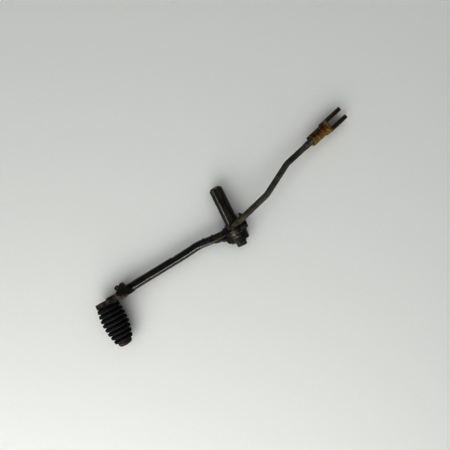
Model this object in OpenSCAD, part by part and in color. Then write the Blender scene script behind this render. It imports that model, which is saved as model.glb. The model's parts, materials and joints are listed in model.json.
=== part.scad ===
// Foot lever with a pivot spindle, a folding rubber covered toe peg, and a bent link rod with a clevis.
// +Y is the pivot axis and points inboard, +X runs back along the link, and +Z is up from the surface
// that the lever lies on. The origin is on the pivot axis, where the spindle's shank meets its journal.

/* [Pivot] */
// Diameter of the spindle's shank, which the frame holds
shank_d = 12; // [11:0.5:13]
// Length of the shank
shank_len = 34.5; // [25:0.5:45]
// Diameter of the journal that the hub turns on
journal_d = 10; // [9:0.5:10.5]
// Length of the journal
journal_len = 16.5; // [15.5:0.5:20]
// Outer diameter of the hub
hub_d = 18; // [17:0.5:19]
// Thread diameter of the pivot bolt
bolt_d = 6; // [5:1:6]

/* [Crank] */
// Distance of the ear's hole from the spindle, upwards
ear_z = 20; // [18:0.5:24]
// Distance of the ear's hole from the spindle, backwards
ear_x = -1; // [-4:0.5:2]
// Thickness of the crank plate
crank_t = 2.8; // [2:0.1:3]

/* [Arm] */
// Diameter of the arm's bar
arm_d = 8; // [7:0.1:9]
// Length of the arm from the spindle to its bend
arm_root_len = 37; // [25:1:50]
// Angle of the arm's bend
arm_bend = 5.2; // [0:0.1:8]
// Distance of the tip's pin in front of the spindle
fold_x = 114.5; // [112:0.5:120]

/* [Toe peg] */
// Distance from the tip's pin to the middle of the peg
peg_reach = 16.5; // [15:0.5:20]
// Diameter of the peg inside the rubber
peg_d = 9; // [7:0.5:10]
// Largest diameter of the rubber
pad_d = 22.3; // [18:0.1:24]
// Number of ribs on the rubber
rib_count = 8; // [6:1:9]
// Distance from rib to rib
rib_pitch = 4.25; // [3.5:0.05:5]

/* [Link] */
// Diameter of the link rod
rod_d = 5.2; // [4.5:0.1:5.5]
// Length of the rod from its hook to the first bend
run_1 = 40.3; // [30:0.1:50]
// Length of the rod from the first bend to the second
run_2 = 32.8; // [25:0.1:40]
// Length from the second bend to the clevis's tips
run_3 = 72.4; // [65:0.1:85]
// Width of the clevis
clevis_w = 12.3; // [11:0.1:14]
// Width of the clevis's slot
slot_w = 5.4; // [5:0.1:7]
// Depth of the clevis's slot
slot_depth = 20.4; // [14:0.1:24]
// Diameter of the cross bore for the clevis pin
clevis_bore_d = 6; // [5:0.5:7]

/* [Hidden] */
$fn = 64;

run_gap = 0.04;            // radial clearance of a turning fit
play = 0.1;                // gap between flat faces that turn on each other
bend_lap = 0.4;            // how far a bar's straights reach into its bends
bend_upset = 0.1;          // how much thicker a bend is than the straights

// Pivot stack, outwards from the shoulder
shank_chamfer = 1.8;
thrust_d = 15;
thrust_t = 1.2;
retainer_d = 17;
retainer_t = 1.2;
lock_d = 10.4;
lock_t = 1.3;
bolt_af = 8;
bolt_head = 3.6;
bolt_len = 13;
tap_depth = 14;
bush_d = 12;
hub_in = -(thrust_t + play);
hub_out = -(journal_len - play);
lock_y = -(journal_len + retainer_t);
head_y = lock_y - lock_t;
stop_reach = 12.6;         // how far the stop lug stands out in front of the spindle
stop_h = 10;
stop_y = -9.9;             // its inboard face

// Crank plate
crank_y = -6.5;            // its inboard face
crank_disc = 11.8;         // radius round the hub
ear_r = 6;
tab_t = 2.7;               // thickness of the return spring's tab
tab_x = crank_disc - tab_t;
tab_low = -7;
tab_high = 1.5;
tab_reach = 5.3;
tab_slant = 2.3;
tab_hole_d = 3.2;
tab_hole = [0.8, -2.6];    // Y and Z of the tab's hole

// Arm and tip, whose middle lies above the pivot axis by what the rubber is fatter than the hub
tip_z = (pad_d - hub_d) / 2;
arm_y = -5.7;
arm_bend_r = 40;
fold_y = -13.6;
lug_r = 4.4;
lug_t = 3;
lug_top = tip_z + 7.5;
lug_gap = 10;
lug_low = lug_top - lug_t - lug_gap;
web_x = fold_x - 4.8;      // face of the fork's web, in front of the spindle
web_t = 5.5;
arm_run = (web_x - web_t - arm_root_len) / cos(arm_bend) + 0.5;   // from its bend to its end, let into the web
web_mid = arm_y - (web_x - arm_root_len) * tan(arm_bend);
pin_d = 5;
pin_head_d = 6.8;
pin_head_t = 0.8;
anchor = [-fold_x - 3.5, fold_y + 6.4];
heel = [-fold_x + 1.4, fold_y + 6.7];   // rounded corner of the lower lug beside the anchor
heel_r = 2.4;
wire_d = 1.6;

// Folding tip
plate_t = 4.4;
plate_h = 14;
plate_len = 19.5;
plate_y = -12.8;           // inboard face of the peg plate
plate_end = -fold_x - 4.7;
knuckle_r = 4.2;
knuckle_h = 3.6;
knuckle_top = lug_top - lug_t - play;
peg_x = -fold_x - peg_reach;
coil_r = pin_d / 2 + 0.25 + wire_d / 2;
coil_low = lug_low + lug_t + 0.1 + wire_d / 2;
coil_top = knuckle_top - knuckle_h - 0.25 - wire_d / 2;
coil_start = 57.8;         // where the wire meets the coil, round the pin from +X
coil_end = 250;            // where its upper leg leaves the coil
rings = 4;
leg_len = 7.5;
tenon_d = 7;
pad_start = plate_y - plate_t - 0.3;
rib_first = 2.3;           // from the rubber's inner end to the middle of its first rib
rib_depth = 1.9;
rib_tip = 1.7;             // width of a rib at its tip
rib_root = 3.1;            // width of a rib at its root
pad_len = rib_first + (rib_count - 1) * rib_pitch + 2.2;
cap_d = 12;
cap_t = 3.2;
nose_d = 6;

// Link, drawn in a plane that tilts about the ear's hole until the clevis lies on the surface
hook_start = -13.6;
hook_corner = -3.7;
hook_r = 3.6;
heading_1 = 17;
heading_2 = 30;
heading_3 = 16.4;
link_bend_r = 14;
washer_d = 10.4;
washer_t = 1.1;
washer_y = crank_y - crank_t - play - washer_t;
cotter_y = -11.7;
cotter_wire = 0.9;
thread_d = 5.94;
thread_bore = 6;
thread_shown = 9;
thread_hidden = 9;
nut_t = 5;
nut_af = 10;
nut_x = run_3 - 41;
clevis_x = nut_x + nut_t;
neck_d = 10;
neck_len = 10.2;
clevis_h = 11;
clevis_round = 15;
clevis_drop = clevis_h / 2 + 0.25;   // how far its lower edge lies below its middle when the rod leans
knee_1 = [0, hook_corner] + run_1 * [cos(heading_1), sin(heading_1)];
knee_2 = knee_1 + run_2 * [cos(heading_2), sin(heading_2)];
tip_centre = knee_2.x + (run_3 - clevis_h / 2) * cos(heading_3);
link_tilt = asin((ear_z + hub_d / 2 - clevis_drop) / tip_centre);

// ---- Shared shapes ----

// The children's +Z points along +Y, from y
module along_y(y) {
    translate([0, y, 0]) rotate([-90, 0, 0]) children();
}

// The children's +Z points along +X, from x
module along_x(x) {
    translate([x, 0, 0]) rotate([0, 90, 0]) children();
}

module ring(outer, inner, h) {
    difference() {
        cylinder(d = outer, h = h);
        translate([0, 0, -1]) cylinder(d = inner, h = h + 2);
    }
}

// Hexagon with its outer corners turned off at the top
module hex(af, h, chamfer = 0.9) {
    intersection() {
        cylinder(d = af / cos(30), h = h, $fn = 6);
        union() {
            cylinder(d = af * 1.25, h = h - chamfer);
            translate([0, 0, h - chamfer]) cylinder(d1 = af * 1.25, d2 = af * 0.92, h = chamfer);
        }
    }
}

function tangent_len(turn, r) = r * tan(abs(turn) / 2);

// Round bar along +X, then round each bend: steps are [straight length, turn to the left, bend radius].
// A bend is a little thicker than the straights, which reach into it, as a cold bend upsets the bar.
module bar(d, steps, i = 0) {
    run = steps[i][0];
    turn = steps[i][1];
    r = steps[i][2];
    side = turn < 0 ? -1 : 1;
    back = i > 0 ? bend_lap : 0;
    ahead = turn != 0 ? bend_lap : 0;
    along_x(-back) cylinder(d = d, h = back + run + ahead);
    if (turn != 0)
        translate([run, side * r, 0]) {
            rotate([0, 0, side > 0 ? -90 : 90 + turn])
                rotate_extrude(angle = abs(turn)) translate([r, 0]) circle(d = d + bend_upset, $fn = 48);
            rotate([0, 0, turn]) translate([0, -side * r, 0]) bar(d, steps, i + 1);
        }
}

// Normal carried from one direction of a path to the next without twisting
function carried(n, t) = let (m = n - (n * t) * t) m / norm(m);
function unit(v) = v / norm(v);

// Round wire through a list of points
module wire(points, d, sides = 8) {
    last = len(points) - 1;
    dirs = [for (i = [0 : last]) unit(points[min(i + 1, last)] - points[max(i - 1, 0)])];
    normals = [
        for (i = 0, n = carried([0.31, 0.22, 0.93], dirs[0]); i <= last;
             i = i + 1, n = carried(n, dirs[min(i, last)])) n
    ];
    spots = [
        for (i = [0 : last], k = [0 : sides - 1])
            points[i] + d / 2 * (cos(k * 360 / sides) * normals[i]
                                 + sin(k * 360 / sides) * cross(dirs[i], normals[i]))
    ];
    walls = [
        for (i = [0 : last - 1], k = [0 : sides - 1])
            let (a = i * sides + k, b = i * sides + (k + 1) % sides)
            each [[a, a + sides, b + sides], [a, b + sides, b]]
    ];
    start = [for (k = [0 : sides - 1]) k];
    end = [for (k = [sides - 1 : -1 : 0]) last * sides + k];
    polyhedron(spots, concat(walls, [start, end]));
}

// ---- Pivot ----

module pivot_spindle() {
    color("#4b443b") difference() {
        union() {
            along_y(0) cylinder(d = shank_d, h = shank_len - shank_chamfer);
            along_y(shank_len - shank_chamfer)
                cylinder(d1 = shank_d, d2 = shank_d - 2 * shank_chamfer, h = shank_chamfer);
            along_y(-journal_len) cylinder(d = journal_d, h = journal_len);
        }
        along_y(-journal_len - 1) cylinder(d = bolt_d, h = tap_depth + 1);
        along_y(shank_len - 1.6) cylinder(d1 = 0.4, d2 = 4, h = 1.7);
    }
}

module thrust_washer() {
    color("#8d8672") along_y(-thrust_t) ring(thrust_d, journal_d + 0.2, thrust_t);
}

module retaining_washer() {
    color("#77705c") along_y(lock_y) ring(retainer_d, bolt_d + 0.4, retainer_t);
}

module spring_washer() {
    color("#6c6a5c") along_y(head_y) difference() {
        ring(lock_d, bolt_d + 0.2, lock_t);
        translate([lock_d / 4 + 1, 0, lock_t / 2]) rotate([35, 0, 0]) cube([lock_d / 2, 0.7, 6], center = true);
    }
}

module pivot_bolt() {
    color("#7d765f") {
        along_y(head_y) cylinder(d = bolt_d - 0.1, h = bolt_len);
        translate([0, head_y, 0]) rotate([90, 0, 0]) hex(bolt_af, bolt_head);
    }
}

// ---- Lever ----

// The hub's tube, with a stop lug below the arm's root
module hub_boss() {
    color("#2c2b27") difference() {
        union() {
            along_y(hub_out) cylinder(d = hub_d, h = hub_in - hub_out);
            translate([0, 0, -stop_h / 2]) linear_extrude(stop_h) polygon([
                [-hub_d / 2 + 2, stop_y], [-stop_reach, stop_y],
                [-stop_reach + 0.7, stop_y - 3.1], [-hub_d / 2 - 0.9, hub_out], [-hub_d / 2 + 2, hub_out]
            ]);
        }
        along_y(hub_out - 1) cylinder(d = bush_d, h = hub_in - hub_out + 2);
    }
}

module hub_bushing() {
    color("#b08a4a") along_y(hub_out) ring(bush_d, journal_d + 2 * run_gap, hub_in - hub_out);
}

// Outline of the crank plate, seen from outboard with Z upwards: a saddle on the hub's upper side
module crank_outline() {
    reach = ear_r - 0.25;
    difference() {
        union() {
            intersection() {
                circle(r = crank_disc);
                translate([-crank_disc, tab_low]) square(2 * crank_disc);
            }
            translate([ear_x, ear_z]) circle(r = ear_r);
            polygon([[-9.5, 6], [ear_x - reach, ear_z + 0.5], [ear_x + reach, ear_z + 0.5], [9.5, 6]]);
            translate([0, tab_low]) square([crank_disc, tab_high - tab_low]);
        }
        circle(d = hub_d);
        translate([ear_x, ear_z]) circle(d = rod_d + 0.2);
    }
}

module crank_plate() {
    tab_back = crank_y - crank_t;
    color("#33302a") difference() {
        union() {
            translate([0, crank_y, 0]) rotate([90, 0, 0]) linear_extrude(crank_t) crank_outline();
            translate([0, 0, tab_low]) linear_extrude(tab_high - tab_low) polygon([
                [tab_x, tab_back], [crank_disc, tab_back],
                [crank_disc, tab_reach - tab_slant], [tab_x, tab_reach]
            ]);
        }
        translate([0, tab_hole[0], tab_hole[1]]) along_x(tab_x - 1) cylinder(d = tab_hole_d, h = tab_t + 2);
    }
}

module lever_arm() {
    bend_len = tangent_len(arm_bend, arm_bend_r);
    color("#1d1c1a") difference() {
        translate([0, arm_y, tip_z]) rotate([0, 0, 180])
            bar(arm_d, [[arm_root_len - bend_len, arm_bend, arm_bend_r], [arm_run - bend_len, 0, 0]]);
        along_y(-20) cylinder(d = hub_d, h = 30);
        along_y(crank_y - crank_t) cylinder(r = crank_disc, h = crank_t);
    }
}

// Plan of the tip's fork: round the pin, with a square corner inboard
module lug_outline() {
    half = arm_d / 2 + 0.2;
    difference() {
        union() {
            translate([-fold_x, fold_y]) circle(r = lug_r);
            polygon([
                [-web_x, web_mid + half], [-fold_x - 0.8, web_mid + half - 0.3],
                [-fold_x - 3, fold_y + 0.6], [-fold_x - 1.5, fold_y - 3.4],
                [-web_x, web_mid - half]
            ]);
            translate([-web_x, web_mid - half]) square([web_t, 2 * half]);
        }
        translate([-fold_x, fold_y]) circle(d = pin_d);
    }
}

module tip_fork() {
    half = arm_d / 2 + 0.2;
    color("#5b4130") difference() {
        union() {
            translate([0, 0, lug_top - lug_t]) linear_extrude(lug_t) lug_outline();
            translate([0, 0, lug_low]) linear_extrude(lug_t) lug_outline();
            translate([-web_x, web_mid - half, lug_low]) cube([web_t, 2 * half, lug_top - lug_low]);
            // Inboard edge of the lower lug, whose corner anchors the spring
            translate([0, 0, lug_low]) linear_extrude(lug_t) {
                translate(anchor) circle(r = 2.2);
                translate(heel) circle(r = heel_r);
                polygon([
                    anchor + [-2, 0.6], anchor + [1.2, 0], heel - [heel_r, 0], heel + [heel_r, 0],
                    [-web_x + 1, web_mid], [-fold_x - 3, fold_y + 1]
                ]);
            }
        }
        translate([anchor.x, anchor.y, lug_low - 1]) cylinder(d = wire_d + 0.4, h = lug_t + 2);
        translate([-fold_x, fold_y, lug_low - 1]) cylinder(d = pin_d, h = lug_t + 2);
        // The arm's end is let into the web
        translate([0, arm_y, tip_z]) rotate([0, 0, 180]) translate([arm_root_len, 0, 0])
            rotate([0, 0, arm_bend]) along_x(0) cylinder(d = arm_d, h = arm_run);
    }
}

module fold_pin() {
    color("#6b4a35") translate([-fold_x, fold_y, 0]) {
        translate([0, 0, lug_top]) cylinder(d1 = pin_head_d, d2 = pin_head_d - 1, h = pin_head_t);
        translate([0, 0, lug_low - 1]) cylinder(d = pin_d, h = lug_top - lug_low + 1);
        translate([0, 0, lug_low - 2]) cylinder(d1 = pin_d - 0.6, d2 = pin_d + 1.2, h = 1);
    }
}

module fold_washer() {
    color("#6f665a") translate([-fold_x, fold_y, lug_low - 1]) ring(8.4, pin_d + 0.1, 1);
}

// Place on the spring's coil at an angle round the pin from +X, with the children's +X along the wire
module at_coil(turn, z) {
    translate([-fold_x + coil_r * cos(turn), fold_y + coil_r * sin(turn), z])
        rotate([0, 0, turn - 90]) children();
}

// Torsion spring: up through its anchor, across to the coil, and out into the peg plate's end.
// Its coil is drawn as closed rings that run into each other.
module fold_spring() {
    foot_z = -hub_d / 2 + 0.35;
    lead = anchor - [-fold_x + coil_r * cos(coil_start), fold_y + coil_r * sin(coil_start)];
    color("#a7a39a") {
        for (i = [0 : rings - 1])
            translate([-fold_x, fold_y, coil_low + i * (coil_top - coil_low) / (rings - 1)])
                rotate_extrude() translate([coil_r, 0]) circle(d = wire_d + bend_upset, $fn = 24);
        translate([anchor.x, anchor.y, foot_z]) cylinder(d = wire_d, h = coil_low - foot_z);
        translate([anchor.x, anchor.y, coil_low]) sphere(d = wire_d + bend_upset, $fn = 32);
        at_coil(coil_start, coil_low) along_x(-norm(lead)) cylinder(d = wire_d, h = norm(lead) + bend_lap);
        at_coil(coil_end, coil_top) along_x(-bend_lap) cylinder(d = wire_d, h = leg_len + bend_lap);
    }
}

// ---- Folding tip ----

module peg_plate() {
    color("#6e5f4c") {
        difference() {
            union() {
                // The strip, with rounded corners
                translate([0, plate_y, tip_z]) rotate([90, 0, 0]) linear_extrude(plate_t) {
                    translate([plate_end - plate_len + 2, -plate_h / 2]) square([plate_len - 2, plate_h]);
                    translate([plate_end - plate_len, -plate_h / 2 + 2]) square([plate_len, plate_h - 4]);
                    for (z = [-1, 1])
                        translate([plate_end - plate_len + 2, z * (plate_h / 2 - 2)]) circle(r = 2);
                }
                // Raised pad that the knuckle grows out of
                translate([plate_end - 9, plate_y - 0.1, tip_z - 5]) cube([8.6, 1.9, 10.2]);
                // Knuckle on the pin
                translate([-fold_x, fold_y, knuckle_top - knuckle_h]) cylinder(r = knuckle_r, h = knuckle_h);
                translate([plate_end - 3, fold_y - 3.2, knuckle_top - knuckle_h])
                    cube([-fold_x - plate_end + 3, 5.8, knuckle_h]);
            }
            translate([-fold_x, fold_y, knuckle_top - knuckle_h - 1])
                cylinder(d = pin_d + 2 * run_gap, h = knuckle_h + 2);
            translate([peg_x, 0, tip_z]) along_y(plate_y - plate_t - 1) cylinder(d = tenon_d, h = plate_t + 2);
            at_coil(coil_end, coil_top) along_x(leg_len - 4.1) cylinder(d = wire_d + 0.4, h = 4.8);
        }
    }
}

module peg_pin() {
    cap_y = pad_start - pad_len;
    color("#5d4633") translate([peg_x, 0, tip_z]) {
        along_y(plate_y - plate_t) cylinder(d = tenon_d, h = plate_t);
        along_y(cap_y) cylinder(d = peg_d, h = plate_y - plate_t - cap_y);
        along_y(cap_y - cap_t - 0.5) cylinder(d1 = nose_d - 1.4, d2 = nose_d, h = 0.7);
        along_y(cap_y - cap_t + 0.2) cylinder(d = nose_d, h = cap_t - 0.2);
    }
}

module end_cap() {
    cap_y = pad_start - pad_len;
    color("#7b5534") translate([peg_x, 0, tip_z]) along_y(cap_y - cap_t) difference() {
        union() {
            cylinder(d1 = cap_d - 2.4, d2 = cap_d, h = 1.2);
            translate([0, 0, 1.2]) cylinder(d = cap_d, h = cap_t - 1.2);
        }
        translate([0, 0, -1]) cylinder(d = nose_d, h = cap_t + 2);
    }
}

// Radius of rib i: the rubber swells quickly over its first ribs and tapers slowly towards its end
function rib_r(i) =
    let (from_fattest = i - 2.5, fall = from_fattest < 0 ? 0.16 : 0.14)
    pad_d / 2 - fall * from_fattest * from_fattest;

module rubber_pad() {
    half_root = rib_root / 2;
    half_tip = rib_tip / 2;
    outline = [
        for (i = [0 : rib_count - 1])
            let (
                y = rib_first + i * rib_pitch,
                r = rib_r(i),
                // The first rib is a collar that reaches the rubber's inner end
                back = i == 0 ? rib_first : half_root
            )
            each [
                [r - (i == 0 ? 0.5 : rib_depth), y - back],
                [r, y - (i == 0 ? rib_first - 0.7 : half_tip)],
                [r, y + half_tip],
                [r - rib_depth, y + half_root]
            ]
    ];
    color("#232321") translate([peg_x, pad_start, tip_z]) rotate([90, 0, 0])
        rotate_extrude() polygon(concat(
            [[peg_d / 2, 0]], outline, [[cap_d / 2 + 0.6, pad_len], [peg_d / 2, pad_len]]
        ));
}

// ---- Link ----

// Frame of the rod's plane: the ear's hole is at its origin
module in_link() {
    translate([ear_x, 0, ear_z]) rotate([0, link_tilt, 0]) children();
}

// The rod's last straight run, with +X along it from the second bend
module on_run() {
    in_link() translate([knee_2.x, knee_2.y, 0]) rotate([0, 0, heading_3]) children();
}

module link_rod() {
    turn_0 = heading_1 - 90;
    turn_1 = heading_2 - heading_1;
    turn_2 = heading_3 - heading_2;
    cut_0 = tangent_len(turn_0, hook_r);
    cut_1 = tangent_len(turn_1, link_bend_r);
    cut_2 = tangent_len(turn_2, link_bend_r);
    color("#67635b") difference() {
        union() {
            in_link() translate([0, hook_start, 0]) rotate([0, 0, 90]) bar(rod_d, [
                [hook_corner - hook_start - cut_0, turn_0, hook_r],
                [run_1 - cut_0 - cut_1, turn_1, link_bend_r],
                [run_2 - cut_1 - cut_2, turn_2, link_bend_r],
                [nut_x - thread_shown - cut_2 + 1, 0, 0]
            ]);
            on_run() along_x(nut_x - thread_shown)
                cylinder(d = thread_d, h = thread_shown + nut_t + thread_hidden);
        }
        in_link() translate([0, cotter_y, -5]) cylinder(d = 2 * cotter_wire + 0.4, h = 10);
    }
}

module hook_washer() {
    color("#7a7263") in_link() along_y(washer_y) ring(washer_d, rod_d + 0.3, washer_t);
}

// Split pin: one wire up through the hook, round its eye, and down again, with its ends bent apart
module hook_cotter() {
    half = cotter_wire / 2 + 0.06;
    eye = 1.5;
    rise = 3.4;
    leg = [[half + 2.2, -4.3], [half + 1.2, -4.1], [half + 0.35, -3.7], [half, -3], [half, rise]];
    round_eye = [for (a = [-50 : 20 : 230]) [eye * cos(a), rise + 2.1 + eye * sin(a)]];
    path = concat(leg, round_eye, [for (i = [4 : -1 : 0]) [-leg[i].x, leg[i].y]]);
    color("#8b8577") in_link() translate([0, cotter_y, 0])
        wire([for (p = path) [p.x, 0, p.y]], cotter_wire, 6);
}

module jam_nut() {
    color("#a08a3c") on_run() difference() {
        along_x(nut_x) hex(nut_af, nut_t, 0.6);
        along_x(nut_x - 1) cylinder(d = thread_bore + 0.06, h = nut_t + 2);
    }
}

module clevis_fork() {
    body_x = clevis_x + neck_len;
    body_len = run_3 - body_x;
    shoulder = 2.8;
    bore_x = run_3 - clevis_h / 2;
    color("#94803a") on_run() difference() {
        union() {
            along_x(clevis_x) cylinder(d1 = neck_d - 0.8, d2 = neck_d, h = 0.4);
            along_x(clevis_x + 0.4) cylinder(d = neck_d, h = neck_len);
            intersection() {
                union() {
                    translate([body_x, -clevis_w / 2, -clevis_h / 2])
                        cube([body_len - clevis_h / 2, clevis_w, clevis_h]);
                    translate([bore_x, -clevis_w / 2, 0]) rotate([-90, 0, 0]) cylinder(d = clevis_h, h = clevis_w);
                }
                union() {
                    along_x(body_x) cylinder(d1 = neck_d, d2 = clevis_round, h = shoulder);
                    along_x(body_x + shoulder) cylinder(d = clevis_round, h = body_len);
                }
            }
        }
        along_x(clevis_x - 1) cylinder(d = thread_bore, h = thread_hidden + 3);
        translate([run_3 - slot_depth, -slot_w / 2, -clevis_h]) cube([slot_depth + 1, slot_w, 2 * clevis_h]);
        translate([bore_x, -clevis_w, 0]) rotate([-90, 0, 0]) cylinder(d = clevis_bore_d, h = 2 * clevis_w);
    }
}

pivot_spindle();
thrust_washer();
retaining_washer();
spring_washer();
pivot_bolt();
hub_boss();
hub_bushing();
lever_arm();
crank_plate();
tip_fork();
fold_pin();
fold_washer();
fold_spring();
peg_plate();
peg_pin();
end_cap();
rubber_pad();
link_rod();
hook_washer();
hook_cotter();
jam_nut();
clevis_fork();
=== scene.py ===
"""Looks of the foot lever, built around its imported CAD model.

Lengths are in millimetres until a mesh is made, and MM turns them into metres. Places come from the
frame: its joints, its mounts and its nodes' boxes. +Y points inboard, +X back along the link, +Z up.
"""

import json
import math

import bpy
import numpy as np
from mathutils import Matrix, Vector, noise


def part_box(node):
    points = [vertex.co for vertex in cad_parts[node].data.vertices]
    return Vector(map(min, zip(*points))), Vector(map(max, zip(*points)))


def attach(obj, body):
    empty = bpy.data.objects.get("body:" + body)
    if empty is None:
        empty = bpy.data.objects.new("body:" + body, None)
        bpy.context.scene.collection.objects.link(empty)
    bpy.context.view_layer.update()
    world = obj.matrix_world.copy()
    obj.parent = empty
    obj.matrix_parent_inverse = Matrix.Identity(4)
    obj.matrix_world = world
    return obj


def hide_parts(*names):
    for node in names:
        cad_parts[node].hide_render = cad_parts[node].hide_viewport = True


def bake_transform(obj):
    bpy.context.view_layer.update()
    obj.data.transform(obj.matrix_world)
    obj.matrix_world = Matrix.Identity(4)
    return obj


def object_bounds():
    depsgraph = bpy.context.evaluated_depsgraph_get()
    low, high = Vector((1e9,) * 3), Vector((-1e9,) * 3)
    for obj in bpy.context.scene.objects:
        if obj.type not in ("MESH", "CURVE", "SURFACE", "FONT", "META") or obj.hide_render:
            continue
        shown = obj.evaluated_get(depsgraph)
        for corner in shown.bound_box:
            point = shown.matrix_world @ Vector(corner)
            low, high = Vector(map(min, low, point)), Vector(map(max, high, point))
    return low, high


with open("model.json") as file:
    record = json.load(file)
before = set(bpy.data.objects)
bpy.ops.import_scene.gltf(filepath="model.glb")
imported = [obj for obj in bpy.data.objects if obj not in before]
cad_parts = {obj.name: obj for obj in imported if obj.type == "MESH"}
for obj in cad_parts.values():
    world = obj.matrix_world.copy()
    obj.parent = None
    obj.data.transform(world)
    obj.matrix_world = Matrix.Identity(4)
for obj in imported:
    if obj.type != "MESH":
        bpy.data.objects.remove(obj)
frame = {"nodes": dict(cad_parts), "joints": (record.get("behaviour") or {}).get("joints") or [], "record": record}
CAD_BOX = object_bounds()

MM = 0.001
TAU = 2 * math.pi
NODES = frame["nodes"]
JOINTS = {j["name"]: j for j in frame["joints"]}
MOUNTS = {m["name"]: m for m in frame["record"]["mounts"]}
SLOT_OF = {s["node"]: s["material_slot"] for s in frame["record"]["subparts"]}


def mm_box(node):
    """Lowest and highest corner of a CAD node, in millimetres."""
    low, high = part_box(node)
    return np.array(low) / MM, np.array(high) / MM


def mm_point(entry):
    """Where a joint or a mount is, in millimetres."""
    return np.array(entry["pos_m"]) / MM


# ---- Places, from the frame ----

FLOOR_Z = CAD_BOX[0].z / MM
FOLD = mm_point(JOINTS["toe_fold"])
EAR = mm_point(JOINTS["rod_pivot"])
CLEVIS_TURN = mm_point(JOINTS["clevis_turn"])
RUN_AXIS = np.array(JOINTS["clevis_turn"]["axis"])
BORE = mm_point(MOUNTS["clevis_pin_bore"])
BORE_AXIS = np.array(MOUNTS["clevis_pin_bore"]["axis"])
PAD_LOW, PAD_HIGH = mm_box("rubber_pad")
ARM_LOW, ARM_HIGH = mm_box("lever_arm")
HUB_LOW, HUB_HIGH = mm_box("hub_boss")
ARM_R = (ARM_HIGH[2] - ARM_LOW[2]) / 2
ARM_Z = (ARM_LOW[2] + ARM_HIGH[2]) / 2
ARM_ROOT_Y = ARM_HIGH[1] - ARM_R
HUB_R = (HUB_HIGH[2] - HUB_LOW[2]) / 2
PEG_X = (PAD_LOW[0] + PAD_HIGH[0]) / 2
PEG_Z = (PAD_LOW[2] + PAD_HIGH[2]) / 2
SPINDLE_END_Y = mm_box("pivot_spindle")[1][1]
# The crank's plate is too bent for its box to give its thickness
CRANK_T = 2.8
CRANK_Y = EAR[1] + CRANK_T / 2


# ---- Mesh tools ----


def add_mesh(name, points, faces):
    """A smooth mesh object from points in millimetres."""
    mesh = bpy.data.meshes.new(name)
    mesh.from_pydata((np.asarray(points) * MM).tolist(), [], faces)
    mesh.validate()
    mesh.update()
    mesh.polygons.foreach_set("use_smooth", [True] * len(mesh.polygons))
    obj = bpy.data.objects.new(name, mesh)
    bpy.context.scene.collection.objects.link(obj)
    return obj


def places_and_normals(obj):
    """Each vertex's place, in millimetres, and its normal."""
    places = np.array([v.co for v in obj.data.vertices]) / MM
    return places, np.array([v.normal for v in obj.data.vertices])


def set_places(obj, places):
    """Moves each vertex to its place in millimetres."""
    obj.data.vertices.foreach_set("co", (places * MM).ravel())


def set_attribute(obj, name, values):
    """A number on each vertex, which a material can read."""
    layer = obj.data.attributes.new(name, "FLOAT", "POINT")
    layer.data.foreach_set("value", np.asarray(values, np.float32))


def finish_piece(obj, body, material, slot, *nodes):
    """Puts a new piece on a body, in place of the CAD nodes that are named."""
    obj.data.materials.append(material)
    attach(obj, body)
    if nodes:
        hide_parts(*nodes)


def ring_faces(rings, sides):
    """Quads between neighbouring rings of a tube, and a cap on each end."""
    faces = []
    for i in range(rings - 1):
        for k in range(sides):
            a, b = i * sides + k, i * sides + (k + 1) % sides
            faces.append((a, b, b + sides, a + sides))
    faces.append(tuple(range(sides))[::-1])
    faces.append(tuple((rings - 1) * sides + k for k in range(sides)))
    return faces


def cross_axes(spine, first_normal):
    """Normal and binormal at each point of a line, carried along without twisting."""
    tangents = np.gradient(spine, axis=0)
    tangents /= np.linalg.norm(tangents, axis=1)[:, None]
    normals = np.zeros_like(spine)
    normal = np.array(first_normal, float)
    for i, t in enumerate(tangents):
        normal = normal - (normal @ t) * t
        normal /= np.linalg.norm(normal)
        normals[i] = normal
    return normals, np.cross(tangents, normals)


def sweep(name, spine, radius, sides, first_normal=(0, 0, 1)):
    """A closed tube round a line. radius(i, angles) gives a ring's radii; angle 0 points along the
    carried normal, and a quarter turn on is the binormal."""
    spine = np.asarray(spine, float)
    normals, binormals = cross_axes(spine, first_normal)
    angles = np.arange(sides) * TAU / sides
    points = []
    for i, centre in enumerate(spine):
        around = np.cos(angles)[:, None] * normals[i] + np.sin(angles)[:, None] * binormals[i]
        points.append(centre + radius(i, angles)[:, None] * around)
    return add_mesh(name, np.concatenate(points), ring_faces(len(spine), sides))


def lathe(name, profile, axis_point, axis, sides, wobble):
    """A closed solid turned round an axis. profile holds (distance along the axis, radius) pairs.
    wobble(along, angles) is added to a ring's radii."""
    axis = Vector(axis).normalized()
    side = np.array(axis.orthogonal().normalized())
    axis = np.array(axis)
    other = np.cross(axis, side)
    angles = np.arange(sides) * TAU / sides
    around = np.cos(angles)[:, None] * side + np.sin(angles)[:, None] * other
    points = []
    for along, r in profile:
        ring = r + wobble(along, angles)
        points.append(np.asarray(axis_point) + axis * along + ring[:, None] * around)
    return add_mesh(name, np.concatenate(points), ring_faces(len(profile), sides))


def bumps(spots, size, seed):
    """Smooth noise from -1 to 1 at each point, with features of about size millimetres."""
    return np.array([noise.noise(Vector(p) / size + Vector((seed, 0, 0))) for p in np.asarray(spots)])


def smooth_step(x):
    """0 below 0 and 1 above 1, with a smooth rise between them."""
    x = np.clip(x, 0, 1)
    return x * x * (3 - 2 * x)


def bell(x, centre, width):
    """1 at the centre, falling to almost nothing two widths away."""
    return np.exp(-(((x - centre) / width) ** 2))


def stretch(a, b, step):
    """Points from a, which is left out, to b."""
    count = max(1, int(np.linalg.norm(b - a) / step))
    return [a + (b - a) * (k + 1) / count for k in range(count)]


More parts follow.
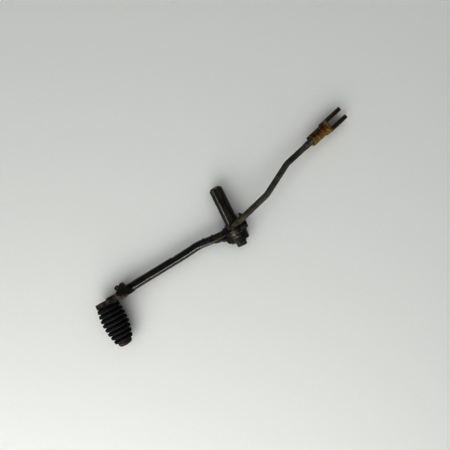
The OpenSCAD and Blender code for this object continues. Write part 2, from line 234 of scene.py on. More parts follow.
def rounded_path(corners, radii, step):
    """Points along a line through corners, with a round bend at each inner one."""
    corners = [np.asarray(c, float) for c in corners]
    points = [corners[0]]
    for before, here, after, radius in zip(corners, corners[1:], corners[2:], radii):
        u, v = here - before, after - here
        u, v = u / np.linalg.norm(u), v / np.linalg.norm(v)
        turn = math.acos(np.clip(u @ v, -1, 1))
        start = here - u * radius * math.tan(turn / 2)
        inward = v - u * (u @ v)
        centre = start + radius * inward / np.linalg.norm(inward)
        points += stretch(points[-1], start, step)
        count = max(2, int(radius * turn / step))
        for k in range(1, count + 1):
            a = turn * k / count
            points.append(centre + (start - centre) * math.cos(a) + u * radius * math.sin(a))
    return np.array(points + stretch(points[-1], corners[-1], step))


# Size of the clouds that the pits follow
PIT_SIZE = 1.5


def worn(obj, voxel, rounding, pits):
    """Rounds a CAD node's edges as wear does, and pits its surface. Neither makes it larger."""
    remesh = obj.modifiers.new("remesh", "REMESH")
    remesh.mode = "VOXEL"
    remesh.voxel_size = voxel * MM
    remesh.use_smooth_shade = True
    smooth = obj.modifiers.new("rounding", "SMOOTH")
    smooth.factor = 0.5
    smooth.iterations = rounding
    if pits:
        texture = bpy.data.textures.new(obj.name + "_pits", "CLOUDS")
        texture.noise_scale = PIT_SIZE * MM
        texture.noise_depth = 3
        dent = obj.modifiers.new("pits", "DISPLACE")
        dent.texture = texture
        dent.texture_coords = "LOCAL"
        dent.mid_level = 1.0
        dent.strength = pits * MM


# ---- Material tools ----


class Shader:
    """A material's nodes, with short names for what the materials below use."""

    def __init__(self, name, **sockets):
        self.material = bpy.data.materials.new(name)
        self.material.use_nodes = True
        self.tree = self.material.node_tree
        self.surface = self.tree.nodes["Principled BSDF"]
        for key, value in sockets.items():
            self.surface.inputs[key.replace("_", " ")].default_value = value
        self.place = self.node("ShaderNodeTexCoord").outputs["Object"]

    def node(self, kind, **settings):
        """A new node with the settings given."""
        made = self.tree.nodes.new(kind)
        for key, value in settings.items():
            setattr(made, key, value)
        return made

    def link(self, value, socket):
        """Feeds a socket from another, or sets its own number, or its colour from a tuple of three."""
        if isinstance(value, bpy.types.NodeSocket):
            self.tree.links.new(value, socket)
        elif isinstance(value, tuple):
            socket.default_value = (*value, 1)
        else:
            socket.default_value = value

    def stretched(self, x, y, z):
        """Object coordinates scaled per axis, for streaks."""
        mapping = self.node("ShaderNodeMapping")
        mapping.inputs["Scale"].default_value = (x, y, z)
        self.link(self.place, mapping.inputs["Vector"])
        return mapping.outputs["Vector"]

    def noise(self, size, detail, rough=0.6, *, seed, at=None):
        """Noise with features of about size millimetres."""
        made = self.node("ShaderNodeTexNoise", noise_dimensions="4D")
        made.inputs["Scale"].default_value = 1 / (size * MM)
        made.inputs["Detail"].default_value = detail
        made.inputs["Roughness"].default_value = rough
        made.inputs["W"].default_value = seed
        self.link(at or self.place, made.inputs["Vector"])
        return made.outputs["Fac"]

    def between(self, value, low, high, to_low=0.0, to_high=1.0):
        """value mapped from low..high to to_low..to_high, smoothly, and held at the ends."""
        made = self.node("ShaderNodeMapRange", interpolation_type="SMOOTHSTEP")
        numbers = {"Value": value, "From Min": low, "From Max": high, "To Min": to_low, "To Max": to_high}
        for socket, number in numbers.items():
            self.link(number, made.inputs[socket])
        return made.outputs["Result"]

    def maths(self, operation, a, b):
        made = self.node("ShaderNodeMath", operation=operation)
        self.link(a, made.inputs[0])
        self.link(b, made.inputs[1])
        return made.outputs[0]

    def times(self, a, b):
        return self.maths("MULTIPLY", a, b)

    def plus(self, a, b):
        return self.maths("ADD", a, b)

    def mix(self, share, a, b):
        """Colour a where share is 0 and b where it is 1."""
        made = self.node("ShaderNodeMix", data_type="RGBA")
        self.link(share, made.inputs["Factor"])
        self.link(a, made.inputs["A"])
        self.link(b, made.inputs["B"])
        return next(o for o in made.outputs if o.type == "RGBA")

    def mottle(self, value, low, high, a, b):
        """Colour a where value is under low, b where it is over high, and a mix between."""
        return self.mix(self.between(value, low, high), a, b)

    def axis(self, direction, point):
        """Distance along a direction from a point, both in the row frame, in millimetres."""
        away = self.node("ShaderNodeVectorMath", operation="SUBTRACT")
        self.link(self.place, away.inputs[0])
        away.inputs[1].default_value = np.asarray(point, float) * MM
        dot = self.node("ShaderNodeVectorMath", operation="DOT_PRODUCT")
        self.link(away.outputs["Vector"], dot.inputs[0])
        dot.inputs[1].default_value = np.asarray(direction, float) / MM
        return dot.outputs["Value"]

    def edges(self, low, high):
        """1 on sharp outer edges, which wear first."""
        return self.between(self.node("ShaderNodeNewGeometry").outputs["Pointiness"], low, high)

    def mark(self, name):
        """A number kept on the mesh's vertices."""
        return self.node("ShaderNodeAttribute", attribute_name=name).outputs["Fac"]

    def finish(self, colour, rough, metal, height, depth):
        """Links what the surface shows. height is bump, and depth its size in millimetres."""
        self.link(colour, self.surface.inputs["Base Color"])
        self.link(rough, self.surface.inputs["Roughness"])
        self.link(metal, self.surface.inputs["Metallic"])
        bump = self.node("ShaderNodeBump")
        bump.inputs["Distance"].default_value = depth * MM
        self.link(height, bump.inputs["Height"])
        self.link(bump.outputs["Normal"], self.surface.inputs["Normal"])
        return self.material


# ---- Materials ----
# The size of a noise is in millimetres, and most of its values lie between 0.3 and 0.7


def rust_over(s, colour, amount, seed):
    """colour with brown, orange and dark rust over it where amount is high."""
    dark, brown, tan = (0.012, 0.006, 0.004), (0.095, 0.042, 0.018), (0.165, 0.105, 0.05)
    rust = s.mottle(s.noise(1.1, 6, 0.7, seed=seed), 0.35, 0.62, dark, brown)
    rust = s.mottle(s.noise(3.5, 4, seed=seed + 4), 0.52, 0.72, rust, tan)
    return s.mix(amount, colour, rust)


def black_paint():
    """Worn gloss black: brown stains, chips down to rusty steel, and bare grey steel and olive stains on the faces
    turned to the lamps, partly painted highlight.
    """
    black, brown, soot = (0.004, 0.004, 0.005), (0.020, 0.012, 0.009), (0.030, 0.022, 0.015)
    grey, bright = (0.045, 0.052, 0.058), (0.15, 0.165, 0.18)
    olive, straw = (0.060, 0.046, 0.011), (0.18, 0.138, 0.044)
    s = Shader("black_paint", Specular_IOR_Level=0.6)
    broad = s.noise(14, 5, seed=1)
    fine = s.noise(1.6, 6, 0.7, seed=2)
    colour = s.mottle(broad, 0.42, 0.66, black, brown)
    colour = s.mottle(fine, 0.50, 0.70, colour, soot)
    chips = s.times(s.between(fine, 0.60, 0.66), s.between(s.noise(9, 3, seed=7), 0.50, 0.62))
    colour = rust_over(s, colour, chips, seed=3)
    # The bare and stain marks lie on faces turned to the lamps: their light grey and straw are partly painted
    # highlight
    bare_lit_facet = s.mark("bare")
    colour = s.mix(bare_lit_facet, colour, s.mottle(s.noise(2.2, 4, seed=8), 0.35, 0.6, grey, bright))
    colour = s.mix(s.mark("stain"), colour, s.mix(fine, olive, straw))
    rough = s.plus(s.between(fine, 0.3, 0.75, 0.12, 0.34), s.times(bare_lit_facet, 0.22))
    return s.finish(colour, rough, s.times(bare_lit_facet, 0.15), s.noise(0.8, 6, 0.7, seed=5), 0.015)


def ear_paint():
    """The crank plate's black, with pink-orange on the top of its ear's end: rust, partly a painted highlight."""
    black, brown = (0.003, 0.003, 0.003), (0.020, 0.013, 0.008)
    dark, salmon_lit = (0.035, 0.014, 0.008), (0.20, 0.115, 0.07)
    s = Shader("ear_paint", Specular_IOR_Level=0.35)
    fine = s.noise(1.1, 6, 0.7, seed=2)
    colour = s.mottle(fine, 0.42, 0.66, black, brown)
    colour = rust_over(s, colour, s.between(s.noise(5, 5, seed=3), 0.55, 0.66), seed=5)
    # Pink-orange on the ear's top front: rust, and partly a painted highlight along its top edge
    ragged = s.between(s.noise(3, 4, seed=9), 0.3, 0.7, -1.6, 1.6)
    high = s.between(s.plus(s.axis((0, 0, 1), EAR), ragged), 2.6, 4.8)
    front = s.between(s.axis((1, 0, 0), EAR), 3.0, -1.0)
    colour = s.mix(s.times(high, front), colour, s.mottle(fine, 0.38, 0.6, dark, salmon_lit))
    return s.finish(colour, s.between(fine, 0.3, 0.7, 0.36, 0.7), 0.0, fine, 0.05)


def oily_steel():
    """Dark brown patina on turned steel, drawn out along the spindle, with a painted highlight on the worn edges
    of its end.
    """
    dark, olive = (0.009, 0.008, 0.006), (0.068, 0.058, 0.040)
    brown, bright = (0.040, 0.023, 0.017), (0.62, 0.58, 0.52)
    s = Shader("oily_steel", Specular_IOR_Level=0.5)
    streak = s.noise(3, 6, 0.65, seed=1, at=s.stretched(1, 0.18, 1))
    fine = s.noise(0.7, 5, 0.7, seed=2)
    colour = s.mottle(streak, 0.35, 0.68, dark, olive)
    colour = s.mottle(s.noise(6, 4, seed=4), 0.55, 0.72, colour, brown)
    # Near-white on the end's edges: worn steel, and a painted highlight where the chamfer catches the light
    tip = s.between(s.axis((0, 1, 0), (0, SPINDLE_END_Y - 4, 0)), 0, 4)
    rubbed_and_lit = s.times(s.edges(0.505, 0.55), s.between(fine, 0.42, 0.6))
    colour = s.mix(s.times(rubbed_and_lit, tip), colour, bright)
    return s.finish(colour, s.between(streak, 0.3, 0.7, 0.25, 0.40), 0.3, fine, 0.02)


def rusty_steel(name, bare, rust_low, rust_high, seed):
    """Bare steel under rust, which covers it where the noise passes rust_low to rust_high."""
    edge = (0.20, 0.165, 0.125)
    s = Shader(name)
    cover = s.between(s.noise(5, 6, 0.65, seed=seed), rust_low, rust_high)
    colour = s.mix(s.noise(1.3, 5, seed=seed + 1), bare, tuple(c * 0.45 for c in bare))
    colour = rust_over(s, colour, cover, seed)
    colour = s.mix(s.times(s.edges(0.51, 0.57), 0.45), colour, edge)
    rough = s.between(cover, 0, 1, 0.42, 0.85)
    metal = s.between(cover, 0, 1, 0.6, 0.05)
    return s.finish(colour, rough, metal, s.noise(0.6, 6, 0.75, seed=seed + 2), 0.09)


def fork_steel():
    """Black like the arm towards its web, tan rust round the pin, and brown on the heel."""
    black, soot = (0.003, 0.003, 0.003), (0.020, 0.009, 0.007)
    umber, tan, sand = (0.030, 0.014, 0.009), (0.15, 0.098, 0.058), (0.24, 0.17, 0.11)
    dark, brown = (0.012, 0.005, 0.004), (0.075, 0.034, 0.022)
    s = Shader("fork_steel")
    fine = s.noise(1.2, 6, 0.7, seed=2)
    painted = s.mottle(fine, 0.4, 0.65, black, soot)
    rust = s.mottle(fine, 0.40, 0.62, umber, tan)
    rust = s.mottle(s.noise(2.4, 4, seed=8), 0.56, 0.68, rust, sand)
    forward = s.axis((-0.45, -0.89, 0), FOLD)
    ragged = s.between(s.noise(3, 4, seed=5), 0.3, 0.7, -1.5, 1.5)
    share = s.between(s.plus(forward, ragged), -1.0, 1.6)
    heel = s.between(s.axis((0, 1, 0), FOLD), 4.8, 6.6)
    painted = s.mix(heel, painted, s.mottle(fine, 0.35, 0.6, dark, brown))
    colour = s.mix(share, painted, rust)
    return s.finish(colour, s.between(share, 0, 1, 0.24, 0.7), 0.1, fine, 0.05)


def dull_rod():
    """Dull drawn steel with brown stains, green and beige near the hook."""
    dark, steel, stain = (0.040, 0.036, 0.030), (0.115, 0.107, 0.093), (0.035, 0.024, 0.016)
    green, beige = (0.040, 0.045, 0.020), (0.17, 0.14, 0.09)
    s = Shader("dull_rod")
    fine = s.noise(0.9, 6, 0.7, seed=2)
    colour = s.mottle(s.noise(7, 5, seed=3), 0.35, 0.65, dark, steel)
    colour = s.mottle(fine, 0.52, 0.72, colour, stain)
    near_hook = s.between(s.axis((1, 0, 0), EAR), 34, 6)
    tint = s.mottle(s.noise(4, 4, seed=6), 0.42, 0.58, green, beige)
    colour = s.mix(s.times(near_hook, 0.75), colour, tint)
    return s.finish(colour, s.between(fine, 0.3, 0.7, 0.38, 0.62), 0.45, fine, 0.03)


def hardware(name, bright, seed):
    """Tarnished zinc, mottled darker in places, with rust spots and lighter edges."""
    s = Shader(name)
    fine = s.noise(0.9, 6, 0.7, seed=seed)
    colour = s.mottle(fine, 0.35, 0.65, tuple(c * 0.35 for c in bright), bright)
    colour = rust_over(s, colour, s.between(s.noise(3, 5, seed=seed + 3), 0.56, 0.70), seed)
    colour = s.mix(s.edges(0.51, 0.58), colour, tuple(c * 1.4 for c in bright))
    return s.finish(colour, s.between(fine, 0.3, 0.7, 0.32, 0.6), 0.7, fine, 0.03)


def yellow_zinc():
    """Yellow chromate, with rust on the neck darkened on its inboard side as painted shade, almost gone from the
    arms, and painted golden highlights on its edges.
    """
    ochre, lemon, amber = (0.11, 0.064, 0.007), (0.38, 0.25, 0.036), (0.18, 0.078, 0.014)
    rust, orange = (0.085, 0.030, 0.008), (0.26, 0.125, 0.020)
    dark, umber, brown = (0.014, 0.005, 0.003), (0.014, 0.005, 0.004), (0.070, 0.030, 0.018)
    gold_highlight = (0.52, 0.40, 0.12)
    s = Shader("yellow_zinc")
    fine = s.noise(0.8, 6, 0.7, seed=1)
    broad = s.noise(4, 5, 0.6, seed=2)
    colour = s.mottle(fine, 0.3, 0.7, ochre, lemon)
    colour = s.mottle(broad, 0.46, 0.64, colour, amber)
    along = s.axis(RUN_AXIS, BORE)
    neck = s.between(along, -16.5, -19.5)
    # Bands side by side on the neck: yellow, then orange, then maroon inboard, away from the lamps: rust colours,
    # darker inboard as painted shade
    band = s.plus(s.axis(BORE_AXIS, BORE), s.between(broad, 0.3, 0.7, -2.2, 2.2))
    middle = s.mottle(fine, 0.35, 0.65, rust, orange)
    inner = s.mottle(fine, 0.35, 0.65, dark, rust)
    colour = s.mix(s.times(s.between(band, -3.6, -1.4), neck), colour, middle)
    colour = s.mix(s.times(s.between(band, -1.2, 1.6), neck), colour, inner)
    arms = s.between(s.plus(along, s.between(broad, 0.3, 0.7, -1.5, 1.5)), -17.5, -14.5)
    colour = s.mix(arms, colour, s.mottle(fine, 0.35, 0.68, umber, brown))
    # Golden yellow on the edges: worn zinc, partly a painted highlight on the shoulder
    rubbed_and_lit = s.times(s.edges(0.505, 0.545), s.between(arms, 0, 1, 0.75, 0.25))
    colour = s.mix(rubbed_and_lit, colour, gold_highlight)
    return s.finish(colour, s.between(fine, 0.3, 0.7, 0.36, 0.66), 0.35, fine, 0.05)


def rubber_lit_ribs():
    """Matt black rubber with a painted highlight: a thin light grey line along each rib's outer shoulder, the wall
    turned to the lamps.
    """
    black, soot = (0.002, 0.002, 0.003), (0.006, 0.005, 0.005)
    grey, brown = (0.150, 0.155, 0.150), (0.10, 0.080, 0.062)
    s = Shader("rubber_lit_ribs", Specular_IOR_Level=0.22)
    fine = s.noise(0.7, 6, 0.7, seed=1)
    broad = s.noise(7, 4, seed=2)
    colour = s.mottle(broad, 0.4, 0.65, black, soot)
    # The light grey along each rib's outer shoulder is a painted highlight where the lamps strike the rib's wall
    rib_highlight = s.times(s.mark("shoulder"), s.between(fine, 0.25, 0.6, 0.25, 1.0))
    rib_highlight = s.times(rib_highlight, s.between(broad, 0.3, 0.62, 0.45, 1.0))
    colour = s.mix(rib_highlight, colour, s.mottle(broad, 0.5, 0.62, grey, brown))
    rough = s.between(fine, 0.3, 0.7, 0.62, 0.92)
    return s.finish(colour, rough, 0.0, s.noise(0.45, 5, 0.7, seed=4), 0.04)


def weld_steel():
    """Dark scale on the weld beads, with tan flecks."""
    black, brown, tan = (0.006, 0.005, 0.004), (0.028, 0.020, 0.011), (0.09, 0.065, 0.03)
    s = Shader("weld_steel")
    fine = s.noise(0.8, 6, 0.7, seed=1)
    colour = s.mottle(s.noise(3, 4, seed=2), 0.4, 0.62, black, brown)
    colour = s.mottle(fine, 0.56, 0.7, colour, tan)
    return s.finish(colour, s.between(fine, 0.3, 0.7, 0.35, 0.75), 0.25, fine, 0.06)


# ---- Pieces ----

# Where the arm bends, steps, is hammered flat, shows bare steel and stains lit as painted highlight, and has
# burrs, along X
ARM_BEND_X = -37.0
ARM_STEP_X = -60.0
FLATS_X = (-36.0, -10.0)
BARE_LIT_X = (-36.0, -22.0)
STAIN_LIT_X = (-22.5, -11.0)
BURR_X = (-21.0, -29.5)
ARM_BEND_TURN = math.radians(5.2)
# How far the side turned to the lamps leans outboard from straight up; bare and stain colours go only there,
# partly as painted highlight
LIT_SIDE_LEAN = math.radians(52)


def arm_bar(material):
    """The arm's bar: thinner towards the hub, with hammered flats, a step and burrs."""
    end_y = ARM_ROOT_Y - math.tan(ARM_BEND_TURN) * (ARM_BEND_X - ARM_LOW[0])
    root = (ARM_HIGH[0] - 0.3, ARM_ROOT_Y, ARM_Z)
    end = (ARM_LOW[0] - 0.6, end_y, ARM_Z)
    spine = rounded_path([root, (ARM_BEND_X, ARM_ROOT_Y, ARM_Z), end], [40], 0.5)
    # Two shallow waves, one at the bend and one beside the hub
    spine[:, 1] += 0.55 * bell(spine[:, 0], -36, 9) - 0.6 * bell(spine[:, 0], -15, 8)

    def ring(i, angles):
        # Angle 0 is up and a quarter turn on is inboard
        x = spine[i][0]
        inboard = np.sin(angles)
        step = 0.75 * bell(x, ARM_STEP_X, 1.6) + 0.3 * smooth_step((x - ARM_STEP_X) / 3)
        r = ARM_R - 0.02 - step * smooth_step(inboard * 1.2)
        near_hub = smooth_step((x - FLATS_X[0]) / 4) * smooth_step((FLATS_X[1] - x) / 3 + 0.2)
        # The way each flat faces, and how deep it is
        flats = ((-66, 0.3 + 0.45 * near_hub), (2, 0.12 + 0.4 * near_hub), (150, 0.7 * near_hub))
        for degrees, depth in flats:
            facing = np.cos(angles - math.radians(degrees))
            flat = (ARM_R - depth) / np.maximum(facing, 0.2)
            r = np.where(facing > 0.2, np.minimum(r, flat), r)
        for burr_x in BURR_X:
            r = r + 1.1 * bell(x, burr_x, 0.5) * smooth_step(inboard * 2 - 1)
        return r

    bar = sweep("arm_bar", spine, ring, 72)
    places, normals = places_and_normals(bar)
    dents = 0.05 * bumps(places, 3.0, 1) + 0.03 * bumps(places, 0.9, 2) - 0.06
    set_places(bar, places + normals * dents[:, None])
    # Bare steel and stains go only on faces turned to the lamps: worn metal, partly a painted highlight
    outward = normals @ np.array([0, -math.sin(LIT_SIDE_LEAN), math.cos(LIT_SIDE_LEAN)])
    rubbed_and_lit = smooth_step((outward - 0.55) / 0.14)
    patch = bumps(places, 2.5, 6)
    x = places[:, 0]
    bare = rubbed_and_lit * smooth_step((x - BARE_LIT_X[0]) / 3) * smooth_step((BARE_LIT_X[1] - x) / 2)
    set_attribute(bar, "bare", np.clip(bare * (0.8 + 0.5 * patch), 0, 1))
    stain = rubbed_and_lit * smooth_step((x - STAIN_LIT_X[0]) / 2) * smooth_step((STAIN_LIT_X[1] - x) / 3)
    set_attribute(bar, "stain", np.clip(stain * (0.9 + 0.6 * patch), 0, 1))
    finish_piece(bar, "lever", material, SLOT_OF["lever_arm"], "lever_arm")


def toe_rubber(material):
    """The ribbed rubber: rounded ribs that wave a little, nicked at their tips."""
    length = PAD_HIGH[1] - PAD_LOW[1]
    fattest = (PAD_HIGH[0] - PAD_LOW[0]) / 2
    ribs, pitch, first, depth, bore = 8, 4.25, 2.3, 1.9, 4.52
    rings, sides = 260, 128
    # shoulders marks each rib's outer shoulder, the wall turned to the lamps, for the rubber's painted highlight
    profile, tips, shoulders = [], [], []
    for along in np.linspace(0, length, rings + 1):
        # place is 0 in the middle of the first rib and grows by 1 to the next; the third is fattest
        place = (along - first) / pitch
        fall = 0.16 if place < 2.5 else 0.14
        outer = fattest - fall * (place - 2.5) ** 2
        # phase is 0 in the middle of a rib and 0.5 in the middle of a groove
        phase = abs((place + 0.5) % 1 - 0.5)
        groove = smooth_step((phase - 0.19) / 0.27)
        if place < 0:
            groove = 0.35 * smooth_step((-place - 0.35) / 0.2)
        if place > ribs - 1:
            outer += (place - ribs + 1) * 0.5
            groove = 1.15 * smooth_step((phase - 0.19) / 0.30)
        profile.append((along, outer - depth * groove))
        tips.append(1 - groove)
        shoulders.append(bell((place + 0.5) % 1, 0.76, 0.055))
    # Both ends are flat rings round the peg
    profile = [(0.0, bore), (0.0, profile[0][1] - 0.25)] + profile[1:] + [(length, bore)]
    tips = [0, 0.3] + tips[1:] + [0]
    shoulders = [0, 0] + shoulders[1:] + [0]

    def wobble(along, angles):
        spots = [(along / 9, math.cos(a) * 1.3, math.sin(a) * 1.3) for a in angles]
        return 0.16 * bumps(spots, 1, 3) - 0.12

    pad = lathe("toe_rubber", profile, (PEG_X, PAD_HIGH[1], PEG_Z), (0, -1, 0), sides, wobble)
    places, normals = places_and_normals(pad)
    nicks = np.maximum(bumps(places, 1.1, 9) - 0.35, 0) * np.repeat(tips, sides)
    set_places(pad, places - normals * (0.9 * nicks)[:, None])
    set_attribute(pad, "shoulder", np.repeat(shoulders, sides))
    finish_piece(pad, "toe_peg", material, SLOT_OF["rubber_pad"], "rubber_pad")


def rod(material):
    """The link rod with its hook, and a true thread where it enters the jam nut."""
    radius, thread_major, thread_minor, thread_pitch = 2.6, 2.97, 2.5, 1.0
    thread_start, thread_end = -9.0, 10.0
    first_run, first_turn, last_turn = 40.3, math.radians(17), math.radians(16.4)
    hook_end_y, hook_corner_y = mm_box("link_rod")[0][1], -3.7
    tilt = math.asin(-RUN_AXIS[2] / math.cos(last_turn))

    def in_plane(x, y):
        """A point of the plane that the rod lies in, x along it from the ear."""
        return EAR * (1, 0, 1) + np.array([x * math.cos(tilt), y, -x * math.sin(tilt)])

    knee_y = hook_corner_y + first_run * math.sin(first_turn)
    first_knee = in_plane(first_run * math.cos(first_turn), knee_y)
    second_knee = CLEVIS_TURN - RUN_AXIS * 31.4
    end = CLEVIS_TURN + RUN_AXIS * thread_end
    corners = [in_plane(0, hook_end_y), in_plane(0, hook_corner_y), first_knee, second_knee, end]
    spine = rounded_path(corners, [3.6, 14, 14], 0.45)
    # The thread's stretch is cut off and laid again in finer steps
    into = (spine - CLEVIS_TURN) @ RUN_AXIS
    near_end = np.linalg.norm(spine - CLEVIS_TURN, axis=1) < 15
    plain = spine[~(near_end & (into > thread_start))]
    fine = np.arange(thread_start, thread_end, 0.12)
    spine = np.concatenate([plain, CLEVIS_TURN + fine[:, None] * RUN_AXIS])

    def ring(i, angles):
        # The hook's end is chamfered, and the other end is threaded
        if i < len(plain):
            chamfer = 0.5 * max(0.0, 1 - i / 2)
            return np.full(len(angles), radius - chamfer)
        along = fine[i - len(plain)]
        phase = (along / thread_pitch - angles / TAU) % 1
        flank = np.clip(np.abs(phase - 0.5) * 2 * 1.25 - 0.12, 0, 1)
        threaded = thread_major - (thread_major - thread_minor) * flank
        grow = smooth_step((along - thread_start) / 1.2)
        return radius * (1 - grow) + threaded * grow

    bar = sweep("rod_bar", spine, ring, 48)
    places, normals = places_and_normals(bar)
    set_places(bar, places + normals * (0.03 * bumps(places, 2.5, 4) - 0.03)[:, None])
    finish_piece(bar, "link", material, SLOT_OF["link_rod"], "link_rod")


def bead(name, spine, size, body, material, closed=False):
    """A weld bead: overlapping ripples along a line, which taper at the ends of an open one."""
    spine = np.asarray(spine, float)
    lengths = np.concatenate([[0], np.cumsum(np.linalg.norm(np.diff(spine, axis=0), axis=1))])

    def ring(i, angles):
        ripple = 0.10 * math.sin(lengths[i] / 0.85 * TAU) + 0.22 * noise.noise(Vector(spine[i]) / 2.3)
        ends = 1.0 if closed else smooth_step(min(i, len(spine) - 1 - i) / 5 + 0.15)
        return np.full(len(angles), size * (1 + ripple) * ends)

    finish_piece(sweep(name, spine, ring, 16), body, material, SLOT_OF["lever_arm"])


def fold_coil(material):
    """The toe's torsion spring in one piece: a foot by the fork, a coil round the fold pin, and an upper leg."""
    coil_r, wire_r, turns = 3.55, 0.78, 2.466
    coil_low, coil_top = -2.45, 1.9
    start_turn, end_turn = math.radians(57.8), math.radians(250)
    foot = (FOLD[0] - 3.5, FOLD[1] + 6.4)
    share = np.linspace(0, 1, 150)
    angles = start_turn - share * turns * TAU
    coil = np.stack([
        FOLD[0] + coil_r * np.cos(angles),
        FOLD[1] + coil_r * np.sin(angles),
        coil_low + (coil_top - coil_low) * share,
    ], 1)
    foot_low = mm_box("fold_spring")[0][2] + 0.05
    lead = rounded_path([(*foot, foot_low), (*foot, coil_low), coil[0]], [1.6], 0.2)[:-1]
    heading = np.array([math.sin(end_turn), -math.cos(end_turn), 0])
    leg = coil[-1] + np.linspace(0.3, 7.4, 24)[:, None] * heading
    spine = np.concatenate([lead, coil, leg])
    spring = sweep("fold_coil", spine, lambda i, a: np.full(len(a), wire_r), 14, (1, 0, 0))
    spring.data.materials.append(material)
    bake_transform(spring)
    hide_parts("fold_spring")


def welds(material):
    """Beads where the arm meets the hub, round the crank plate, and beside the stop lug."""
    loop = []
    for a in np.linspace(0, TAU, 73):
        y = ARM_ROOT_Y - 0.4 + (ARM_R - 0.5) * math.cos(a)
        z = ARM_Z + (ARM_R - 0.5) * math.sin(a)
        loop.append((-math.sqrt(HUB_R**2 - z * z) - 0.5, y, z))
    bead("weld_arm", loop, 1.15, "lever", material, closed=True)
    arc = np.radians(np.linspace(-25, 205, 90))
    for name, y in (("weld_crank_in", CRANK_Y + 0.3), ("weld_crank_out", CRANK_Y - CRANK_T - 0.3)):
        spots = [((HUB_R + 0.1) * math.cos(a), y, (HUB_R + 0.1) * math.sin(a)) for a in arc]
        bead(name, spots, 0.75, "lever", material)
    low_y = ARM_ROOT_Y - ARM_R
    fillet = [(-22.0, low_y + 1.1, ARM_Z), (-15.0, low_y + 0.5, ARM_Z), (-10.6, low_y - 2.2, ARM_Z)]
    bead("weld_lug", rounded_path(fillet, [7], 0.3), 1.9, "lever", material)


# ---- Stage ----

# A phone held over the table, in millimetres
CAMERA_X, CAMERA_Y, CAMERA_HEIGHT = -6.4, 0.7, 310
CAMERA_TURN = math.radians(-26.23)
LENS, SENSOR = 27.04, 36

# Lights, in metres and watts. Directions are in degrees: from the image's right, and above the floor
SKY_HEIGHT, SKY_SIZE, SKY_POWER = 1.2, 2.4, 11.4
WINDOW, WINDOW_SIZE, WINDOW_POWER = (-108, 34), (0.9, 0.6), 4.2
GLINTS = ((-152, 30, 2.4), (-129, 30, 2.4), (-106, 32, 2.2), (-83, 36, 2.0), (-60, 41, 2.2), (-46, 58, 1.8))
GLINT_SIZE = (0.33, 0.15)
LIGHT_DISTANCE = 0.8
ROOM_STRENGTH = 0.27

# Contrasty, as a phone's own processing makes it
VIEW_GAMMA = 0.70


def build_stage():
    """The pale table."""
    size = 1.6
    mesh = bpy.data.meshes.new("floor")
    corners = [(-size, -size), (size, -size), (size, size), (-size, size)]
    mesh.from_pydata([(x, y, FLOOR_Z * MM) for x, y in corners], [], [(0, 1, 2, 3)])
    floor = bpy.data.objects.new("floor", mesh)
    bpy.context.scene.collection.objects.link(floor)
    s = Shader("table_top", Specular_IOR_Level=0.1)
    colour = s.mix(s.noise(3, 3, seed=3), (0.785, 0.795, 0.78), (0.82, 0.83, 0.81))
    floor.data.materials.append(s.finish(colour, 0.6, 0.0, s.noise(1.5, 3, seed=6), 0.02))


def add_area(name, place, width, height, watts, colour=(1, 1, 1)):
    """A rectangular lamp that points at the origin."""
    light = bpy.data.lights.new(name, "AREA")
    light.shape = "RECTANGLE"
    light.size, light.size_y = width, height
    light.energy = watts
    light.color = colour
    obj = bpy.data.objects.new(name, light)
    bpy.context.scene.collection.objects.link(obj)
    obj.location = place
    obj.rotation_euler = (Vector() - Vector(place)).to_track_quat("-Z", "Y").to_euler()
    return obj


def towards(azimuth, elevation):
    """A lamp's place in a direction, from the image's right and above the floor."""
    right = Vector((math.cos(CAMERA_TURN), math.sin(CAMERA_TURN), 0))
    up = Vector((-math.sin(CAMERA_TURN), math.cos(CAMERA_TURN), 0))
    a, e = math.radians(azimuth), math.radians(elevation)
    flat = math.cos(a) * right + math.sin(a) * up
    return LIGHT_DISTANCE * (math.cos(e) * flat + Vector((0, 0, math.sin(e))))


def build_lights():
    """A soft room, and a row of windows along the image's bottom, from its left to its lower right.

    The sky and the soft window only fill the shadows. The small windows only give the bright lines."""
    world = bpy.data.worlds.new("studio")
    world.use_nodes = True
    background = world.node_tree.nodes["Background"]
    background.inputs["Color"].default_value = (0.98, 0.99, 1.0, 1)
    background.inputs["Strength"].default_value = ROOM_STRENGTH
    bpy.context.scene.world = world
    sky = add_area("sky", (0, 0, SKY_HEIGHT), SKY_SIZE, SKY_SIZE, SKY_POWER)
    sky.visible_glossy = False
    window = add_area("window_soft", towards(*WINDOW), *WINDOW_SIZE, WINDOW_POWER, (1.0, 0.99, 0.975))
    window.visible_glossy = False
    for i, (azimuth, elevation, watts) in enumerate(GLINTS):
        glint = add_area(f"glint_{i}", towards(azimuth, elevation), *GLINT_SIZE, watts)
        glint.visible_diffuse = False


def build_camera():
    """The phone, looking straight down."""
    data = bpy.data.cameras.new("phone")
    data.lens = LENS
    data.sensor_width = SENSOR
    camera = bpy.data.objects.new("phone", data)
    bpy.context.scene.collection.objects.link(camera)
    camera.location = (CAMERA_X * MM, CAMERA_Y * MM, (FLOOR_Z + CAMERA_HEIGHT) * MM)
    camera.rotation_euler = (0, 0, CAMERA_TURN)
    bpy.context.scene.camera = camera


# ---- The scene ----

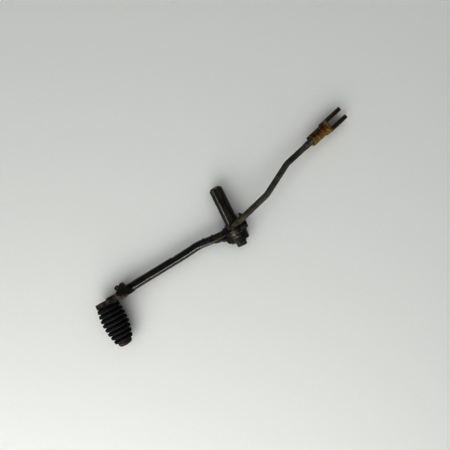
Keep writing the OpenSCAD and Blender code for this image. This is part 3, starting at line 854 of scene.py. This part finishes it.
build_stage()
build_camera()
build_lights()
bpy.context.scene.view_settings.view_transform = "Standard"
bpy.context.scene.view_settings.gamma = VIEW_GAMMA

PAINT = black_paint()
OILY = oily_steel()
PLATE = rusty_steel("plate_steel", (0.010, 0.009, 0.010), 0.47, 0.58, 3.0)
FORK = fork_steel()
EAR_PAINT = ear_paint()
CAP = rusty_steel("cap_steel", (0.045, 0.034, 0.025), 0.42, 0.60, 15.0)
ROD = dull_rod()
ZINC = hardware("tarnished_zinc", (0.080, 0.078, 0.056), 2.0)
WASHER = hardware("washer_zinc", (0.026, 0.024, 0.019), 6.0)
WIRE = hardware("spring_wire", (0.026, 0.023, 0.021), 11.0)
YELLOW = yellow_zinc()
BRONZE = hardware("bronze", (0.26, 0.17, 0.075), 14.0)
RUBBER = rubber_lit_ribs()
WELD = weld_steel()

FINISHES = {
    OILY: ("pivot_spindle",),
    WASHER: ("thrust_washer", "retaining_washer", "spring_washer", "hook_cotter"),
    ZINC: ("pivot_bolt", "fold_washer", "hook_washer"),
    EAR_PAINT: ("hub_boss", "crank_plate"),
    BRONZE: ("hub_bushing",),
    FORK: ("tip_fork", "fold_pin"),
    PLATE: ("peg_plate",),
    CAP: ("peg_pin", "end_cap"),
    YELLOW: ("jam_nut", "clevis_fork"),
}
for finish, nodes in FINISHES.items():
    for node in nodes:
        NODES[node].data.materials.clear()
        NODES[node].data.materials.append(finish)

# Node: voxel of its remesh, rounds of smoothing, depth of its pits
WEAR = {
    "peg_plate": (0.22, 4, 0.12),
    "tip_fork": (0.22, 12, 0.12),
    "crank_plate": (0.25, 4, 0.12),
    "clevis_fork": (0.18, 2, 0.0),
    "jam_nut": (0.18, 4, 0.06),
    "pivot_bolt": (0.18, 4, 0.05),
    "end_cap": (0.18, 4, 0.10),
    "pivot_spindle": (0.22, 3, 0.04),
    "hub_boss": (0.25, 3, 0.08),
}
for node, (voxel, rounding, pits) in WEAR.items():
    worn(NODES[node], voxel, rounding, pits)

arm_bar(PAINT)
toe_rubber(RUBBER)
rod(ROD)
fold_coil(WIRE)
welds(WELD)
